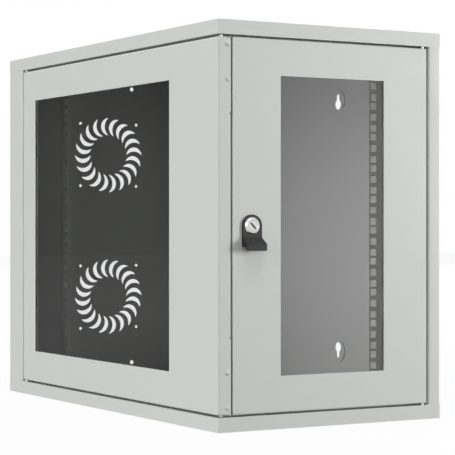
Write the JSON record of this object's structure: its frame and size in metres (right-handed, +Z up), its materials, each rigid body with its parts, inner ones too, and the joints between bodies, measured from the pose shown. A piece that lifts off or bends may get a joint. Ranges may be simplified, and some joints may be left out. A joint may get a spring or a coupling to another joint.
{
  "type": "network server rack cabinet",
  "caption": "Wall-hung 19 inch network cabinet of painted sheet steel with a wide glazed front door, a narrow lockable glazed side door, fan vents and punched rack rails.",
  "frame": {"origin": "centre of the base, on the plane that the bottom plate and its frame stand on", "axes": "+X to the right seen from the front door, towards the side door; +Y to the wall; +Z up"},
  "size_m": [0.7024, 0.361, 0.542],
  "materials": {
    "cabinet_paint": "fine textured powder coat",
    "door_glass": "clear",
    "seal_foam": "matt foam tape",
    "zinc_plate": "bright zinc plate",
    "lock_nickel": "satin nickel plate",
    "black_plastic": "fine grained"
  },
  "bodies": {
    "cabinet": {"top_frame": "cabinet_paint", "top_plate": "cabinet_paint", "bottom_frame": "cabinet_paint", "bottom_plate": "cabinet_paint", "wall_panel": "cabinet_paint", "vent_panel": "cabinet_paint", "depth_bar_top_left": "zinc_plate", "depth_bar_top_right": "zinc_plate", "depth_bar_bottom_left": "zinc_plate", "depth_bar_bottom_right": "zinc_plate", "front_rail_left": "cabinet_paint", "front_rail_right": "cabinet_paint", "rear_upright_left": "cabinet_paint", "rear_upright_right": "cabinet_paint", "rail_bolts": "zinc_plate", "rail_nuts": "zinc_plate", "cable_cover_top": "cabinet_paint", "cable_cover_bottom": "cabinet_paint", "cable_cover_screws": "zinc_plate", "earth_stud": "zinc_plate", "earth_nut": "zinc_plate", "front_hinge_pins": "zinc_plate", "side_hinge_pins": "zinc_plate"},
    "front_door": {"front_door_skin": "cabinet_paint", "front_door_glass": "door_glass", "front_door_seal": "seal_foam", "front_door_clips": "zinc_plate", "front_door_clip_nuts": "zinc_plate", "upper_latch_bracket": "zinc_plate", "lower_latch_bracket": "zinc_plate", "latch_rivets": "cabinet_paint"},
    "side_door": {"side_door_skin": "cabinet_paint", "side_door_glass": "door_glass", "side_door_seal": "seal_foam", "side_door_clips": "zinc_plate", "side_door_clip_nuts": "zinc_plate", "finger_pull": "black_plastic", "lock_barrel": "lock_nickel", "lock_nut": "zinc_plate"},
    "lock_core": {"lock_plug": "lock_nickel", "lock_cam": "zinc_plate", "cam_screw": "zinc_plate"},
    "upper_latch": {"upper_latch_bolt": "zinc_plate"},
    "lower_latch": {"lower_latch_bolt": "zinc_plate"}
  },
  "joints": [
    {"name": "front_door_hinge", "type": "hinge", "parent": "cabinet", "child": "front_door", "pos_m": [-0.2845, -0.1755, 0.271], "axis": [0, 0, -1], "range_deg": [0, 105]},
    {"name": "side_door_hinge", "type": "hinge", "parent": "cabinet", "child": "side_door", "pos_m": [0.338, 0.153, 0.271], "axis": [0, 0, 1], "range_deg": [0, 105]},
    {"name": "lock_turn", "type": "hinge", "parent": "side_door", "child": "lock_core", "pos_m": [0.343, -0.1298, 0.271], "axis": [-1, 0, 0], "range_deg": [0, 90]},
    {"name": "upper_latch_slide", "type": "slide", "parent": "front_door", "child": "upper_latch", "axis": [0, 0, 1], "range_m": [0, 0.008]},
    {"name": "lower_latch_slide", "type": "slide", "parent": "front_door", "child": "lower_latch", "axis": [0, 0, -1], "range_m": [0, 0.008]}
  ]
}
